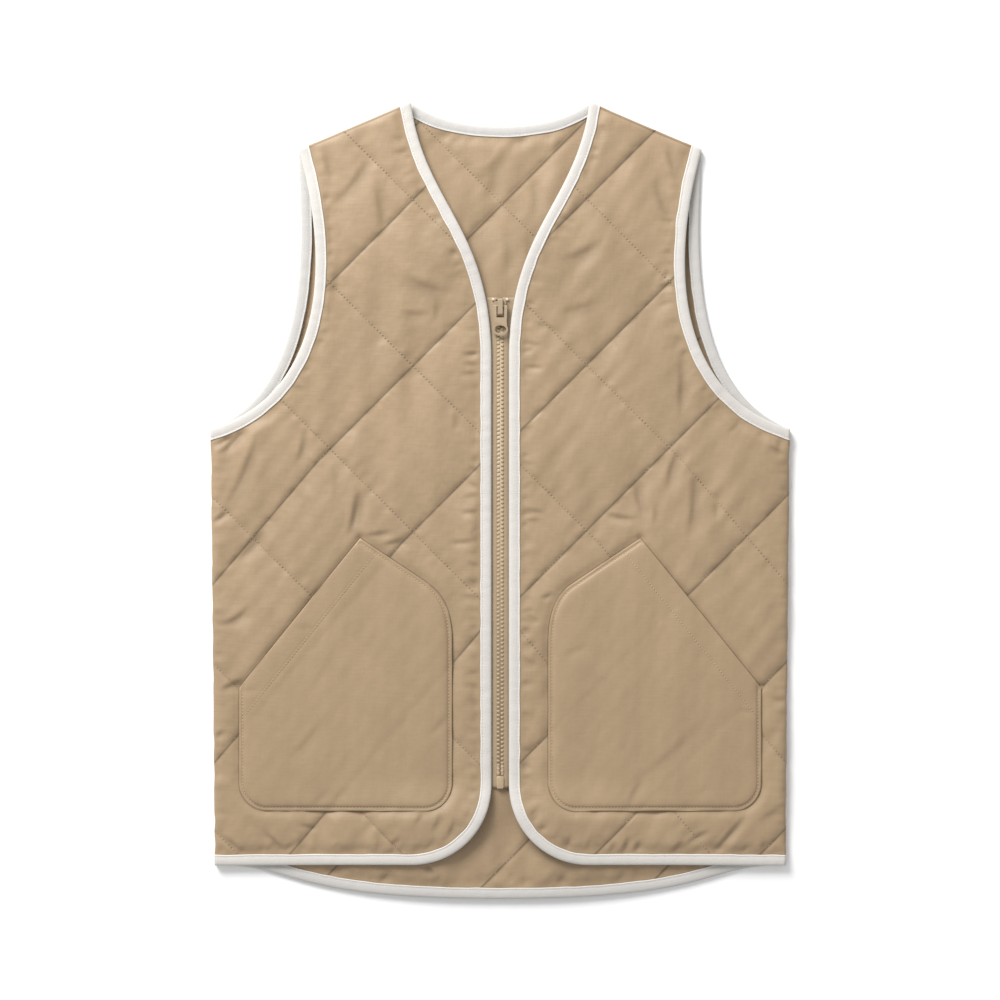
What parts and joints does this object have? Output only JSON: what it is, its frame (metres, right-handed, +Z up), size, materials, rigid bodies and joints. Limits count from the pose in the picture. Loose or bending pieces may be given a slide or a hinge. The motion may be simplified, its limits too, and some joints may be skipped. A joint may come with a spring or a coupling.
{
  "type": "quilted zip vest",
  "caption": "Quilted sleeveless vest laid flat, closed by a front zip, with bound edges, slanted patch pockets and a dropped back hem; its zip pull tab swings.",
  "frame": {"origin": "on the surface it lies on, under the middle of its width and length", "axes": "+X to the wearer's left, +Y from hem to neck, +Z up from the surface"},
  "size_m": [0.54, 0.7424, 0.0131],
  "materials": {
    "quilt_cloth": "thin khaki nylon, quilted in diamonds over light wadding, soft sheen",
    "pocket_cloth": "the same khaki nylon, plain, topstitched",
    "binding_cloth": "off-white folded binding, matt",
    "zip_cloth": "khaki woven zip tape, matt",
    "zip_plastic": "khaki moulded teeth, satin",
    "zip_lacquer": "khaki lacquered slider and tab, satin"
  },
  "bodies": {
    "vest": {"back_panel": "quilt_cloth", "front_panel_right": "quilt_cloth", "front_panel_left": "quilt_cloth", "pocket_right": "pocket_cloth", "pocket_left": "pocket_cloth", "binding_front_right": "binding_cloth", "binding_front_left": "binding_cloth", "binding_back_neck": "binding_cloth", "binding_back_hem": "binding_cloth", "binding_armhole_front_right": "binding_cloth", "binding_armhole_front_left": "binding_cloth", "binding_armhole_back_right": "binding_cloth", "binding_armhole_back_left": "binding_cloth", "zip_tape_right": "zip_cloth", "zip_tape_left": "zip_cloth", "zip_chain": "zip_plastic", "zip_retainer_box": "zip_plastic", "zip_top_stop_right": "zip_plastic", "zip_top_stop_left": "zip_plastic", "zip_slider": "zip_lacquer"},
    "zip_pull": {"zip_pull_tab": "zip_lacquer"}
  },
  "joints": [
    {"name": "zip_pull_hinge", "type": "hinge", "parent": "vest", "child": "zip_pull", "pos_m": [0, 0.1813, 0.0106], "axis": [-1, 0, 0], "range_deg": [0, 180]}
  ]
}
